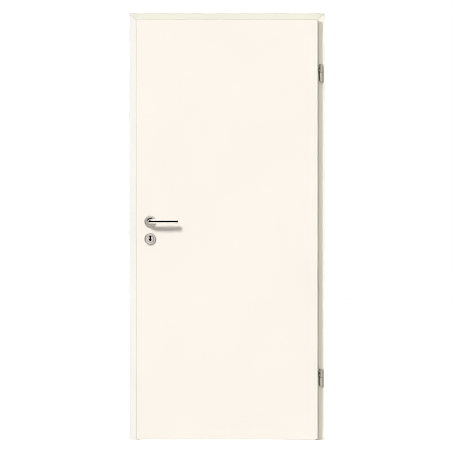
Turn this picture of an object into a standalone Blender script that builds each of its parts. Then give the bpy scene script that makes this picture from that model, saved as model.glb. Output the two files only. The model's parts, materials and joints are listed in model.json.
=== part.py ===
"""Interior door: a flush rebated leaf hung in an adjustable lining frame with mitred casings.

All working dimensions are in millimetres in the door's own layout and become metres when a mesh is made:
  x  from the middle of the opening, positive towards the hinge side (right, seen from the side it opens to)
  y  from the front face of the wall, negative towards the viewer, positive into the wall
  z  from the finished floor
The finished part has its origin on the outer face of the hinge jamb, at the floor, halfway through the wall.
"""

import math

import bmesh
import bpy
from mathutils import Vector

MM = 0.001

# ---------------------------------------------------------------- driving dimensions (mm)
CLEAR_HALF = 405.5          # half the clear passage
CLEAR_TOP = 1967.5          # underside of the head lining
LINING_T = 22.0             # thickness of the lining boards
WALL_T = 145.0              # plastered wall
CASING_T = 16.0             # thickness of both casings
REBATE_HALF = 422.0         # half the width between the rebates
CASING_OUT = 463.0          # half the outer width over the casings
CASING_R = 3.0              # rounding of the casings' outer edge
STOP_Y = 10.0               # stop face of the rebate
MITRE_GAP = 0.15            # half of the joint at each mitre
MITRE_V = 1.1               # eased edge on each side of a casing mitre

LEAF_HALF = 430.0           # half the leaf's width over the overlap
LEAF_BOTTOM = 7.0
LEAF_TOP = 1992.0
LEAF_FRONT = -35.0
LEAF_BACK = 5.0
OVERLAP_BACK = -21.0        # rear of the overlap, 5 mm off the casing
OVERLAP_W = 13.0            # how far the overlap laps over the rebate
SKIN_T = 3.0
STILE_W = 40.0
JOINT = 0.3                 # glue line between neighbouring pieces

HINGE_X = 447.0
HINGE_Y = -28.5
HINGE_Z = (1741.0, 297.0)   # middles of the upper and the lower hinge
KNUCKLE_R = 7.0
KNUCKLE_HALF = 40.5
PIN_R = 4.0
PIN_BORE_R = 4.3

HANDLE_X = -362.0           # backset of 55 mm from the lock edge
HANDLE_Z = 1036.0
KEY_Z = 953.0
LOCK_Y = -9.0               # middle plane of the mortise lock
KEY_PLATE_T = 1.5           # plate between the front and the rear keyhole
ROSE_R = 27.5
ROSE_H = 8.0
SINK_R = 15.3               # sunk centre of the handle's rose
FLOOR_H = 3.4
INSET_R = 16.5              # inset of the keyhole's rose
LEVER_R = 10.0
LEVER_OUT = 50.0            # leaf face to the middle of the grip
LEVER_LEN = 133.0           # handle axis to the end of the grip
LEVER_BEND = 15.0

HEAD_SHIFT = CLEAR_TOP - CLEAR_HALF   # a head member lies at z = u + HEAD_SHIFT
REBATE_X = LEAF_HALF - OVERLAP_W      # edge of the rebated body of the leaf
REBATE_TOP = LEAF_TOP - OVERLAP_W

for old in list(bpy.data.objects):
    bpy.data.objects.remove(old, do_unlink=True)


# ---------------------------------------------------------------- materials
def material(name, colour, roughness, metallic=0.0):
    made = bpy.data.materials.new(name)
    made.use_nodes = True
    shader = made.node_tree.nodes["Principled BSDF"]
    shader.inputs["Base Color"].default_value = (*colour, 1.0)
    shader.inputs["Roughness"].default_value = roughness
    shader.inputs["Metallic"].default_value = metallic
    return made


LEAF_WHITE = material("leaf_laminate", (0.93, 0.865, 0.78), 0.42)
FRAME_WHITE = material("frame_laminate", (0.91, 0.87, 0.78), 0.42)
TIMBER = material("edge_timber", (0.92, 0.86, 0.77), 0.5)
CHIPBOARD = material("core_board", (0.60, 0.46, 0.30), 0.8)
RUBBER = material("gasket", (0.78, 0.76, 0.70), 0.7)
STEEL = material("satin_steel", (0.60, 0.57, 0.52), 0.35, 1.0)
POLISHED = material("polished_grip", (0.86, 0.85, 0.83), 0.08, 1.0)
NICKEL = material("hinge_nickel", (0.52, 0.51, 0.45), 0.32, 1.0)
ZINC = material("zinc_plate", (0.55, 0.55, 0.53), 0.4, 1.0)
NYLON = material("nylon", (0.06, 0.06, 0.06), 0.6)


# ---------------------------------------------------------------- parents
def place(obj, point, parent):
    """Puts an object at a point of the layout, under an empty whose own layout point is known."""
    obj.parent = parent
    obj.location = [(a - b) * MM for a, b in zip(point, POINTS[parent.name])]


def empty(name, point, parent=None):
    made = bpy.data.objects.new(name, None)
    bpy.context.scene.collection.objects.link(made)
    POINTS[name] = point
    if parent:
        place(made, point, parent)
    return made


POINTS = {}
OPENING = empty("opening", (0.0, 0.0, 0.0))
# The part's origin: the outer face of the hinge jamb, at the floor, halfway through the wall.
OPENING.location = (-(CLEAR_HALF + LINING_T) * MM, -WALL_T / 2 * MM, 0.0)
LEAF_AXIS = empty("leaf_axis", (HINGE_X, HINGE_Y, 0.0), OPENING)
HANDLE_AXIS = empty("handle_axis", (HANDLE_X, LOCK_Y, HANDLE_Z), LEAF_AXIS)


def finish(name, bm, mat, origin, parent, smooth=None):
    """Turns a bmesh in layout millimetres into an object whose own origin is at a point of the layout."""
    start = Vector(origin)
    for v in bm.verts:
        v.co = (v.co - start) * MM
    bmesh.ops.remove_doubles(bm, verts=bm.verts, dist=1e-7)
    bmesh.ops.recalc_face_normals(bm, faces=bm.faces)
    mesh = bpy.data.meshes.new(name)
    bm.to_mesh(mesh)
    bm.free()
    if mat:
        mesh.materials.append(mat)
    if smooth:
        mesh.shade_smooth()
        mesh.set_sharp_from_angle(angle=math.radians(smooth))
    made = bpy.data.objects.new(name, mesh)
    bpy.context.scene.collection.objects.link(made)
    place(made, origin, parent)
    return made


def as_guide(obj):
    obj.hide_render = True
    obj.display_type = "WIRE"
    return obj


def combine(obj, operand, how):
    step = obj.modifiers.new(how.lower() + "_" + operand.name, "BOOLEAN")
    step.operation = how
    step.object = operand
    step.solver = "EXACT"


def cut(obj, *cutters):
    for c in cutters:
        combine(obj, c, "DIFFERENCE")


def join(obj, *pieces):
    for p in pieces:
        combine(obj, p, "UNION")


# ---------------------------------------------------------------- shapes
def box_bm(low, high):
    bm = bmesh.new()
    bmesh.ops.create_cube(bm, size=1.0)
    for v in bm.verts:
        v.co = Vector(
            [(a + b) / 2 + c * (b - a) for a, b, c in zip(low, high, v.co)]
        )
    return bm


def box(name, low, high, mat, parent, edge=0.0, segments=2):
    bm = box_bm(low, high)
    if edge:
        bmesh.ops.bevel(
            bm, geom=bm.edges[:], offset=edge, segments=segments, profile=0.5,
            affect="EDGES", clamp_overlap=True,
        )
    return finish(name, bm, mat, [(a + b) / 2 for a, b in zip(low, high)], parent)


def prism_bm(outline, axis, start, end):
    """A closed outline in the two coordinates across an axis, pushed along that axis."""
    bm = bmesh.new()
    rings = []
    for along in (start, end):
        ring = []
        for a, b in outline:
            at = {"X": (along, a, b), "Y": (a, along, b), "Z": (a, b, along)}[axis]
            ring.append(bm.verts.new(at))
        rings.append(ring)
    n = len(outline)
    for i in range(n):
        j = (i + 1) % n
        bm.faces.new((rings[0][i], rings[0][j], rings[1][j], rings[1][i]))
    bm.faces.new(list(reversed(rings[0])))
    bm.faces.new(rings[1])
    return bm


def circle(cx, cy, r, n, turn=0.0):
    return [
        (cx + r * math.cos(turn + 2 * math.pi * i / n),
         cy + r * math.sin(turn + 2 * math.pi * i / n))
        for i in range(n)
    ]


def arc(cx, cy, r, a0, a1, n):
    return [
        (cx + r * math.cos(math.radians(a0 + (a1 - a0) * i / n)),
         cy + r * math.sin(math.radians(a0 + (a1 - a0) * i / n)))
        for i in range(n + 1)
    ]


def cylinder(name, axis, across, start, end, r, n, mat, parent, turn=0.0):
    bm = prism_bm(circle(*across, r, n, turn), axis, start, end)
    middle = (start + end) / 2
    origin = {
        "X": (middle, *across),
        "Y": (across[0], middle, across[1]),
        "Z": (*across, middle),
    }[axis]
    return finish(name, bm, mat, origin, parent, 40)


def lathe_bm(profile, across, axis, base, sign, n, closed):
    """Turns (radius, height) points about an axis through a point. A closed profile makes a ring with a hole."""
    bm = bmesh.new()
    rings = []
    for r, h in profile:
        along = base + sign * h
        if r == 0.0:
            at = {"Y": (across[0], along, across[1]), "Z": (*across, along)}[axis]
            rings.append([bm.verts.new(at)])
            continue
        ring = []
        for a, b in circle(*across, r, n):
            at = {"Y": (a, along, b), "Z": (a, b, along)}[axis]
            ring.append(bm.verts.new(at))
        rings.append(ring)
    pairs = list(zip(rings, rings[1:]))
    if closed:
        pairs.append((rings[-1], rings[0]))
    for low, high in pairs:
        for i in range(n):
            j = (i + 1) % n
            if len(low) == 1:
                bm.faces.new((low[0], high[j], high[i]))
            elif len(high) == 1:
                bm.faces.new((low[i], low[j], high[0]))
            else:
                bm.faces.new((low[i], low[j], high[j], high[i]))
    return bm


def keyhole_outline():
    """Two round ends joined by a narrow neck; the lower end is the larger one."""
    top, bottom = KEY_Z + 11.2, KEY_Z - 3.0
    r_top, r_bottom, neck = 5.2, 6.1, 3.3
    a_top = math.degrees(math.asin(neck / r_top))
    a_bottom = math.degrees(math.asin(neck / r_bottom))
    upper = arc(HANDLE_X, top, r_top, -90 + a_top, 270 - a_top, 12)
    lower = arc(HANDLE_X, bottom, r_bottom, 90 + a_bottom, 450 - a_bottom, 12)
    return upper + lower


def capsule_outline(cx, half_w, low, high, n=8):
    return arc(cx, high - half_w, half_w, 0, 180, n) + arc(
        cx, low + half_w, half_w, 180, 360, n
    )


# ---------------------------------------------------------------- frame members, mitred at the head
def member(name, section, side, mat, face_y=None, smooth=30):
    """Sweeps a (u, y) section up a jamb or along the head, where u is the distance from the opening's middle.
    On a casing the arris at each mitre is eased back to MITRE_V below its face."""
    def eased(y):
        if face_y is None:
            return y
        return max(y, face_y + MITRE_V) if face_y < 0 else min(y, face_y - MITRE_V)

    back = MITRE_GAP + MITRE_V
    bm = bmesh.new()
    if side == "head":
        stations = [
            (-1, MITRE_GAP, True), (-1, back, False), (1, back, False), (1, MITRE_GAP, True)
        ]
        if face_y is None:
            stations = [stations[0], stations[3]]
        rings = [
            [bm.verts.new((s * (u - off), eased(y) if e else y, u + HEAD_SHIFT))
             for u, y in section]
            for s, off, e in stations
        ]
    else:
        s = -1 if side == "lock" else 1
        rings = [[bm.verts.new((s * u, y, 0.0)) for u, y in section]]
        if face_y is not None:
            rings.append(
                [bm.verts.new((s * u, y, u + HEAD_SHIFT - back)) for u, y in section]
            )
        rings.append(
            [bm.verts.new((s * u, eased(y), u + HEAD_SHIFT - MITRE_GAP)) for u, y in section]
        )
    n = len(section)
    for low, high in zip(rings, rings[1:]):
        for i in range(n):
            j = (i + 1) % n
            bm.faces.new((low[i], low[j], high[j], high[i]))
    bm.faces.new(list(reversed(rings[0])))
    bm.faces.new(rings[-1])
    origin = {
        "lock": (-section[0][0], section[0][1], 0.0),
        "hinge": (section[0][0], section[0][1], 0.0),
        "head": (0.0, section[0][1], section[0][0] + HEAD_SHIFT),
    }[side]
    return finish(name, bm, mat, origin, OPENING, smooth)


OUTER = CLEAR_HALF + LINING_T
LINING = [
    *arc(CLEAR_HALF + 1.5, STOP_Y + 1.5, 1.5, 180, 270, 3),
    (415.1, STOP_Y), (415.1, STOP_Y + 5.3), (417.9, STOP_Y + 5.3), (417.9, STOP_Y),
    (REBATE_HALF, STOP_Y), (REBATE_HALF, JOINT),
    (OUTER, JOINT), (OUTER, WALL_T - 3.0),
    (419.4, WALL_T - 3.0), (419.4, WALL_T - 23.3), (412.6, WALL_T - 23.3), (412.6, WALL_T - 3.0),
    (CLEAR_HALF, WALL_T - 3.0),
]
CASING_FRONT = [
    (REBATE_HALF, 0.0),
    *arc(REBATE_HALF + 2.5, -CASING_T + 2.5, 2.5, 180, 270, 4),
    *arc(CASING_OUT - CASING_R, -CASING_T + CASING_R, CASING_R, 270, 360, 7),
    (CASING_OUT, 0.0),
]
REAR = WALL_T + CASING_T
CASING_REAR = [
    (CLEAR_HALF + 2.5, WALL_T - 2.7),
    *arc(CLEAR_HALF + 5.0, REAR - 2.5, 2.5, 180, 90, 4),
    *arc(CASING_OUT - CASING_R, REAR - CASING_R, CASING_R, 90, 0, 7),
    (CASING_OUT, WALL_T), (OUTER + JOINT, WALL_T), (OUTER + JOINT, WALL_T - 2.7),
    (419.1, WALL_T - 2.7), (419.1, WALL_T - 21.0), (412.9, WALL_T - 21.0), (412.9, WALL_T - 2.7),
]
SEAL_Y = STOP_Y - JOINT
SEAL = [
    (416.5 - 4.7 * math.cos(math.radians(a)), SEAL_Y - 3.4 * math.sin(math.radians(a)))
    for a in range(0, 181, 15)
] + [(417.6, SEAL_Y), (417.6, STOP_Y + 5.0), (415.4, STOP_Y + 5.0), (415.4, SEAL_Y)]

linings, fronts = {}, {}
for side in ("lock", "hinge", "head"):
    linings[side] = member("lining_" + side, LINING, side, FRAME_WHITE)
    fronts[side] = member("casing_front_" + side, CASING_FRONT, side, FRAME_WHITE, -CASING_T, 20)
    member("casing_rear_" + side, CASING_REAR, side, FRAME_WHITE, REAR, 20)
    member("seal_" + side, SEAL, side, RUBBER, None, 40)

# ---------------------------------------------------------------- angled strike plate on the lock jamb
STRIKE_LOW, STRIKE_HIGH = 912.0, 1082.0
STRIKE_T = 1.5
LATCH_Z, BOLT_Z = 1032.0, 965.0


def strike_outline(grow):
    """One leg on the side of the rebate, one on the casing under the leaf's overlap, round the casing's arris."""
    r = 2.5
    cx, cy = -REBATE_HALF - r, -CASING_T + r
    skin = STRIKE_T + grow
    outer = [(-REBATE_HALF, 9.5 + grow)] + arc(cx, cy, r, 0, -90, 5) + [(-429.5 - grow, -CASING_T)]
    inner = [(-429.5 - grow, -CASING_T + skin)] + arc(cx, cy, r - skin, -90, 0, 5)
    inner.append((-REBATE_HALF - skin, 9.5 + grow))
    if grow:  # a cutter reaches past the faces
        outer = [(-REBATE_HALF + 3, 9.5 + grow), (-REBATE_HALF + 3, -CASING_T - 3), (-429.5 - grow, -CASING_T - 3)]
    return outer + inner


strike = finish(
    "strike_plate", prism_bm(strike_outline(0.0), "Z", STRIKE_LOW, STRIKE_HIGH),
    ZINC, (-REBATE_HALF, 0.0, (STRIKE_LOW + STRIKE_HIGH) / 2), OPENING, 30,
)
strike_recess = as_guide(finish(
    "guide_strike_recess", prism_bm(strike_outline(JOINT), "Z", STRIKE_LOW - JOINT, STRIKE_HIGH + JOINT),
    None, (-REBATE_HALF, 0.0, (STRIKE_LOW + STRIKE_HIGH) / 2), OPENING,
))
for which, zc, deep in (("latch", LATCH_Z, -440.0), ("bolt", BOLT_Z, -446.0)):
    cut(strike, as_guide(box(
        f"guide_{which}_hole", (-REBATE_HALF - 2.2, LOCK_Y - 5.3, zc - 18.5),
        (-REBATE_HALF + 1.5, LOCK_Y + 5.5, zc + 18.5), None, OPENING,
    )))
    cut(fronts["lock"], as_guide(box(
        f"guide_{which}_pocket", (deep, LOCK_Y - 5.75, zc - 18.5),
        (-REBATE_HALF + 1.0, LOCK_Y + 5.75, zc + 18.5), None, OPENING,
    )))
cut(fronts["lock"], strike_recess)
cut(linings["lock"], strike_recess)

# ---------------------------------------------------------------- the leaf
# Front skin: a tray whose edges turn back round the overlap on three sides, with a rounded arris.
LAP_X = LEAF_HALF - SKIN_T
skin_bm = box_bm((-LEAF_HALF, LEAF_FRONT, LEAF_BOTTOM), (LEAF_HALF, OVERLAP_BACK, LEAF_TOP))
round_edges = [
    e for e in skin_bm.edges
    if all(abs(v.co.y - LEAF_FRONT) < 0.01 for v in e.verts)
    and not all(abs(v.co.z - LEAF_BOTTOM) < 0.01 for v in e.verts)
]
bmesh.ops.bevel(
    skin_bm, geom=round_edges, offset=2.8, segments=5, profile=0.5, affect="EDGES",
    clamp_overlap=True,
)
front_skin = finish(
    "leaf_skin_front", skin_bm, LEAF_WHITE, (0.0, LEAF_FRONT, LEAF_BOTTOM), LEAF_AXIS, 30
)
tray = as_guide(box(
    "guide_tray", (-LAP_X, LEAF_FRONT + SKIN_T, LEAF_BOTTOM - 5),
    (LAP_X, OVERLAP_BACK + 5, LEAF_TOP - SKIN_T), None, LEAF_AXIS,
))
back_skin = box(
    "leaf_skin_rear", (-REBATE_X, LEAF_BACK - SKIN_T, LEAF_BOTTOM),
    (REBATE_X, LEAF_BACK, REBATE_TOP), LEAF_WHITE, LEAF_AXIS,
)

# Timber surround and core between the two skins.
IN_FRONT = LEAF_FRONT + SKIN_T + JOINT
IN_BACK = LEAF_BACK - SKIN_T - JOINT
IN_X = LAP_X - JOINT
IN_TOP = LEAF_TOP - SKIN_T - JOINT
STILE_IN = REBATE_X - STILE_W
stile_lock = box(
    "leaf_stile_lock", (-REBATE_X, IN_FRONT, LEAF_BOTTOM), (-STILE_IN, IN_BACK, REBATE_TOP),
    TIMBER, LEAF_AXIS,
)
stile_hinge = box(
    "leaf_stile_hinge", (STILE_IN, IN_FRONT, LEAF_BOTTOM), (REBATE_X, IN_BACK, REBATE_TOP),
    TIMBER, LEAF_AXIS,
)
RAIL_X = STILE_IN - JOINT
box(
    "leaf_rail_top", (-RAIL_X, IN_FRONT, REBATE_TOP - 40), (RAIL_X, IN_BACK, REBATE_TOP),
    TIMBER, LEAF_AXIS,
)
# Strips that carry the overlap, glued to the edges of the surround.
box(
    "leaf_lap_lock", (-IN_X, IN_FRONT, LEAF_BOTTOM), (-REBATE_X - JOINT, OVERLAP_BACK, IN_TOP),
    TIMBER, LEAF_AXIS,
)
lap_hinge = box(
    "leaf_lap_hinge", (REBATE_X + JOINT, IN_FRONT, LEAF_BOTTOM), (IN_X, OVERLAP_BACK, IN_TOP),
    TIMBER, LEAF_AXIS,
)
box(
    "leaf_lap_head", (-REBATE_X, IN_FRONT, REBATE_TOP + JOINT), (REBATE_X, OVERLAP_BACK, IN_TOP),
    TIMBER, LEAF_AXIS,
)
box(
    "leaf_rail_bottom", (-RAIL_X, IN_FRONT, LEAF_BOTTOM), (RAIL_X, IN_BACK, LEAF_BOTTOM + 50),
    TIMBER, LEAF_AXIS,
)
core = box(
    "leaf_core", (-RAIL_X, IN_FRONT, LEAF_BOTTOM + 50 + JOINT),
    (RAIL_X, IN_BACK, REBATE_TOP - 40 - JOINT), CHIPBOARD, LEAF_AXIS,
)

# Bores shared by the leaf's layers: spindle, key, lock mortise and faceplate recess.
spindle_bore = as_guide(cylinder(
    "guide_spindle_bore", "Y", (HANDLE_X, HANDLE_Z), LEAF_FRONT - 5, LEAF_BACK + 5, 9.0, 24,
    None, LEAF_AXIS,
))
# The two keyholes meet a thin plate in the middle of the lock, which no light passes.
key_bores = []
for where, start, end in (
    ("front", LEAF_FRONT - 25, LOCK_Y - KEY_PLATE_T / 2), ("rear", LOCK_Y + KEY_PLATE_T / 2, LEAF_BACK + 25),
):
    key_bores.append(as_guide(finish(
        "guide_key_bore_" + where, prism_bm(keyhole_outline(), "Y", start, end),
        None, (HANDLE_X, LOCK_Y, KEY_Z), LEAF_AXIS,
    )))
CASE_LOW, CASE_HIGH = 918.0, 1083.0
mortise = as_guide(box(
    "guide_mortise", (-REBATE_X - 5, LOCK_Y - 6.8, CASE_LOW - 0.3), (-334.7, LOCK_Y + 6.8, CASE_HIGH + 0.3),
    None, LEAF_AXIS,
))
FACE_LOW, FACE_HIGH = 878.0, 1113.0
faceplate_recess = as_guide(finish(
    "guide_faceplate_recess",
    prism_bm(capsule_outline(LOCK_Y, 10.3, FACE_LOW - 0.3, FACE_HIGH + 0.3), "X", -REBATE_X - 5, -REBATE_X + 3.3),
    None, (-REBATE_X, LOCK_Y, (FACE_LOW + FACE_HIGH) / 2), LEAF_AXIS,
))
pin_bores = []
for which, zc in zip(("upper", "lower"), HINGE_Z):
    for k, up in enumerate((12.0, 30.0)):
        pin_bores.append(as_guide(cylinder(
            f"guide_pin_bore_{which}_{k}", "X", (HINGE_Y, zc + up), 404.5, 436.0, PIN_BORE_R, 20,
            None, LEAF_AXIS,
        )))

cut(front_skin, tray, spindle_bore, key_bores[0], *pin_bores)
cut(back_skin, spindle_bore, key_bores[1])
cut(stile_lock, mortise, faceplate_recess)
cut(stile_hinge, *pin_bores)
cut(lap_hinge, *pin_bores)
cut(core, mortise, spindle_bore, *key_bores)

# ---------------------------------------------------------------- mortise lock, drawn in
case_spindle = as_guide(cylinder(
    "guide_case_spindle", "Y", (HANDLE_X, HANDLE_Z), LOCK_Y - 20, LOCK_Y + 20, 7.0, 24, None, LEAF_AXIS,
))
lock_case = box(
    "lock_case", (-REBATE_X + 3.6, LOCK_Y - 6.5, CASE_LOW), (-335.0, LOCK_Y + 6.5, CASE_HIGH), ZINC, LEAF_AXIS,
)
LATCH_HALF, BOLT_HALF = 17.0, 17.0
latch_room = as_guide(box(
    "guide_latch_room", (-REBATE_X - 5, LOCK_Y - 5.3, LATCH_Z - LATCH_HALF - 0.3),
    (-REBATE_X + 27.3, LOCK_Y + 5.3, LATCH_Z + LATCH_HALF + 0.3), None, LEAF_AXIS,
))
bolt_room = as_guide(box(
    "guide_bolt_room", (-REBATE_X - 5, LOCK_Y - 4.8, BOLT_Z - BOLT_HALF - 0.3),
    (-REBATE_X + 27.3, LOCK_Y + 4.8, BOLT_Z + BOLT_HALF + 0.3), None, LEAF_AXIS,
))
cut(lock_case, case_spindle, *key_bores, latch_room, bolt_room)
faceplate = finish(
    "lock_faceplate",
    prism_bm(capsule_outline(LOCK_Y, 10.0, FACE_LOW, FACE_HIGH), "X", -REBATE_X, -REBATE_X + 3.0),
    STEEL, (-REBATE_X, LOCK_Y, (FACE_LOW + FACE_HIGH) / 2), LEAF_AXIS, 40,
)
cut(faceplate, latch_room, bolt_room)
# The latch's nose is bevelled on the side that meets the strike when the leaf closes.
finish(
    "latch_bolt",
    prism_bm(
        [
            (-REBATE_X + 27.0, LOCK_Y - 5.0), (-REBATE_X + 0.2, LOCK_Y - 5.0),
            (-REBATE_X + 0.2, LOCK_Y - 3.5), (-REBATE_X + 2.6, LOCK_Y + 5.0), (-REBATE_X + 27.0, LOCK_Y + 5.0),
        ],
        "Z", LATCH_Z - LATCH_HALF, LATCH_Z + LATCH_HALF,
    ),
    STEEL, (-REBATE_X, LOCK_Y, LATCH_Z), LEAF_AXIS,
)
box(
    "dead_bolt", (-REBATE_X + 0.2, LOCK_Y - 4.5, BOLT_Z - BOLT_HALF),
    (-REBATE_X + 27.0, LOCK_Y + 4.5, BOLT_Z + BOLT_HALF), STEEL, LEAF_AXIS,
)

# ---------------------------------------------------------------- roses
RIM = [(ROSE_R, 0.0), (ROSE_R, 2.6)] + [
    (ROSE_R - 5.0 + 5.0 * math.cos(math.radians(a)), 2.6 + (ROSE_H - 2.6) * math.sin(math.radians(a)))
    for a in (15, 30, 45, 60, 75, 90)
]
BORE_R = LEVER_R + 0.7
# The handle's rose is sunk round the neck; the keyhole's rose has a shallow round inset.
HANDLE_ROSE = RIM + [
    (SINK_R + 0.5, ROSE_H), (SINK_R, ROSE_H - 0.5), (SINK_R, FLOOR_H), (BORE_R, FLOOR_H), (BORE_R, 0.0),
]
KEY_ROSE = [(0.0, 0.0)] + RIM + [
    (INSET_R + 0.4, ROSE_H), (INSET_R, ROSE_H - 0.4), (INSET_R, ROSE_H - 1.0), (0.0, ROSE_H - 1.0),
]
for where, base, sign, bore in (
    ("front", LEAF_FRONT - JOINT, -1, key_bores[0]), ("rear", LEAF_BACK + JOINT, 1, key_bores[1]),
):
    finish(
        "handle_rose_" + where,
        lathe_bm(HANDLE_ROSE, (HANDLE_X, HANDLE_Z), "Y", base, sign, 48, True),
        STEEL, (HANDLE_X, base, HANDLE_Z), LEAF_AXIS, 30,
    )
    rose = finish(
        "key_rose_" + where,
        lathe_bm(KEY_ROSE, (HANDLE_X, KEY_Z), "Y", base, sign, 48, False),
        STEEL, (HANDLE_X, base, KEY_Z), LEAF_AXIS, 30,
    )
    cut(rose, bore)

# ---------------------------------------------------------------- levers and spindle
def lever(name, face, sign):
    """Round bar: out of the rose, round a tight bend, along towards the hinges, with an eased flat end."""
    out = LEVER_OUT
    stations = [((0.0, 3.0), (0.0, 1.0), LEVER_R), ((0.0, out - LEVER_BEND), (0.0, 1.0), LEVER_R)]
    for k in range(1, 12):
        a = math.radians(90 * k / 12)
        stations.append((
            (LEVER_BEND * (1 - math.cos(a)), out - LEVER_BEND + LEVER_BEND * math.sin(a)),
            (math.sin(a), math.cos(a)), LEVER_R,
        ))
    stations.append(((LEVER_BEND, out), (1.0, 0.0), LEVER_R))
    for back, r in ((2.2, 10.0), (1.3, 9.83), (0.6, 9.35), (0.15, 8.65), (0.0, 7.8)):
        stations.append(((LEVER_LEN - back, out), (1.0, 0.0), r))
    bm = bmesh.new()
    rings = []
    for (px, ph), (tx, th), r in stations:
        ring = []
        for i in range(28):
            a = 2 * math.pi * i / 28
            side, rise = r * math.cos(a), r * math.sin(a)
            ring.append(bm.verts.new((
                HANDLE_X + px - th * side, face + sign * (ph + tx * side), HANDLE_Z + rise,
            )))
        rings.append(ring)
    for low, high in zip(rings, rings[1:]):
        for i in range(28):
            j = (i + 1) % 28
            bm.faces.new((low[i], low[j], high[j], high[i]))
    bm.faces.new(list(reversed(rings[0])))
    bm.faces.new(rings[-1])
    made = finish(name, bm, POLISHED, (HANDLE_X, face, HANDLE_Z), HANDLE_AXIS, 40)
    ends = sorted((face + sign * -2.0, face + sign * 30.0))
    socket = as_guide(box(
        "guide_socket_" + name, (HANDLE_X - 4.3, ends[0], HANDLE_Z - 4.3),
        (HANDLE_X + 4.3, ends[1], HANDLE_Z + 4.3), None, HANDLE_AXIS,
    ))
    cut(made, socket)


lever("lever_front", LEAF_FRONT, -1)
lever("lever_rear", LEAF_BACK, 1)
box(
    "spindle", (HANDLE_X - 4.0, LEAF_FRONT - 28.0, HANDLE_Z - 4.0),
    (HANDLE_X + 4.0, LEAF_BACK + 28.0, HANDLE_Z + 4.0), ZINC, HANDLE_AXIS,
)

# ---------------------------------------------------------------- hinges
KNUCKLE = [
    (0.0, 0.0), (KNUCKLE_R - 2.0, 0.0), (KNUCKLE_R - 0.6, 0.5), (KNUCKLE_R, 1.9),
    (KNUCKLE_R, KNUCKLE_HALF - 0.8), (0.0, KNUCKLE_HALF - 0.8),
]
for which, zc in zip(("upper", "lower"), HINGE_Z):
    across = (HINGE_X, HINGE_Y)
    # Frame half: knuckle below, with a flat lug let into a slot in the casing.
    frame_half = finish(
        f"hinge_{which}_frame_part",
        lathe_bm(KNUCKLE, across, "Z", zc - KNUCKLE_HALF, 1, 32, False),
        NICKEL, (*across, zc), OPENING, 35,
    )
    lug = as_guide(box(
        f"guide_lug_{which}", (440.5, HINGE_Y + 0.5, zc - 37.0), (443.5, -0.6, zc - 5.0), None, OPENING,
    ))
    lower_bore = as_guide(cylinder(
        f"guide_lower_bore_{which}", "Z", across, zc - 36.0, zc + 5.0, PIN_BORE_R, 24, None, OPENING,
    ))
    join(frame_half, lug)
    cut(frame_half, lower_bore)
    slot = as_guide(box(
        f"guide_slot_{which}", (440.2, -20.0, zc - 37.3), (443.8, 4.0, zc - 4.7), None, OPENING,
    ))
    cut(fronts["hinge"], slot)
    cylinder(
        f"hinge_{which}_pin", "Z", across, zc - 35.5, zc + 35.5, PIN_R, 24, STEEL, OPENING,
    )
    finish(
        f"hinge_{which}_washer",
        lathe_bm(
            [(PIN_BORE_R, -0.5), (KNUCKLE_R - 0.2, -0.5), (KNUCKLE_R - 0.2, 0.5), (PIN_BORE_R, 0.5)],
            across, "Z", zc, 1, 32, True,
        ),
        NYLON, (*across, zc), OPENING, 35,
    )
    # Leaf half: knuckle above, with two round dowels screwed into the edge of the overlap.
    leaf_half = finish(
        f"hinge_{which}_leaf_part",
        lathe_bm(KNUCKLE, across, "Z", zc + KNUCKLE_HALF, -1, 32, False),
        NICKEL, (*across, zc), LEAF_AXIS, 35,
    )
    for k, up in enumerate((12.0, 30.0)):
        join(leaf_half, as_guide(cylinder(
            f"guide_dowel_{which}_{k}", "X", (HINGE_Y, zc + up), 405.0, HINGE_X, PIN_R, 20,
            None, LEAF_AXIS,
        )))
    cut(leaf_half, as_guide(cylinder(
        f"guide_upper_bore_{which}", "Z", across, zc - 5.0, zc + 36.0, PIN_BORE_R, 24, None, LEAF_AXIS,
    )))
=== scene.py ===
import json
import math

import bmesh
import bpy
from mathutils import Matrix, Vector

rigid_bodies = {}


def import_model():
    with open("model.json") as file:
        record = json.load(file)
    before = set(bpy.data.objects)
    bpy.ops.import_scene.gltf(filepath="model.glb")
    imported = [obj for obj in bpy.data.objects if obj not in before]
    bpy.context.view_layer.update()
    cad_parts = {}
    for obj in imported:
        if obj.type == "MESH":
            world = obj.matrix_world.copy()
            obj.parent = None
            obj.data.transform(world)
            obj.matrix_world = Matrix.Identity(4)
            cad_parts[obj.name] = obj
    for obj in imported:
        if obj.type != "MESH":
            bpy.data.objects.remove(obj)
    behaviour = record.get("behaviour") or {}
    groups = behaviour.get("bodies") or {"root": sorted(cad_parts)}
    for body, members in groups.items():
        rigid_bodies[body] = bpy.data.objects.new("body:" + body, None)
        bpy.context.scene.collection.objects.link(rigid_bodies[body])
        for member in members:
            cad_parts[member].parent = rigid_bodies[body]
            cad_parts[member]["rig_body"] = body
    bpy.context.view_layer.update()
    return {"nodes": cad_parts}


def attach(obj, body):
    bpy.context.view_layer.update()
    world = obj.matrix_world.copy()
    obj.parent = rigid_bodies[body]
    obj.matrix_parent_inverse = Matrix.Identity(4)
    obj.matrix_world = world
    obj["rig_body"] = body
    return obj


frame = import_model()
NODES = frame["nodes"]

# Places in the row frame, in metres: x along the wall, y into the room behind, z up.
LEAF_FACE = -0.1075
HANDLE = (-0.7895, 1.036)
KEYHOLE = (-0.7895, 0.953)
FACEPLATE_X = -0.8445
STRIKE_X = -0.8495
LOCK_Y = -0.0815


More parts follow.
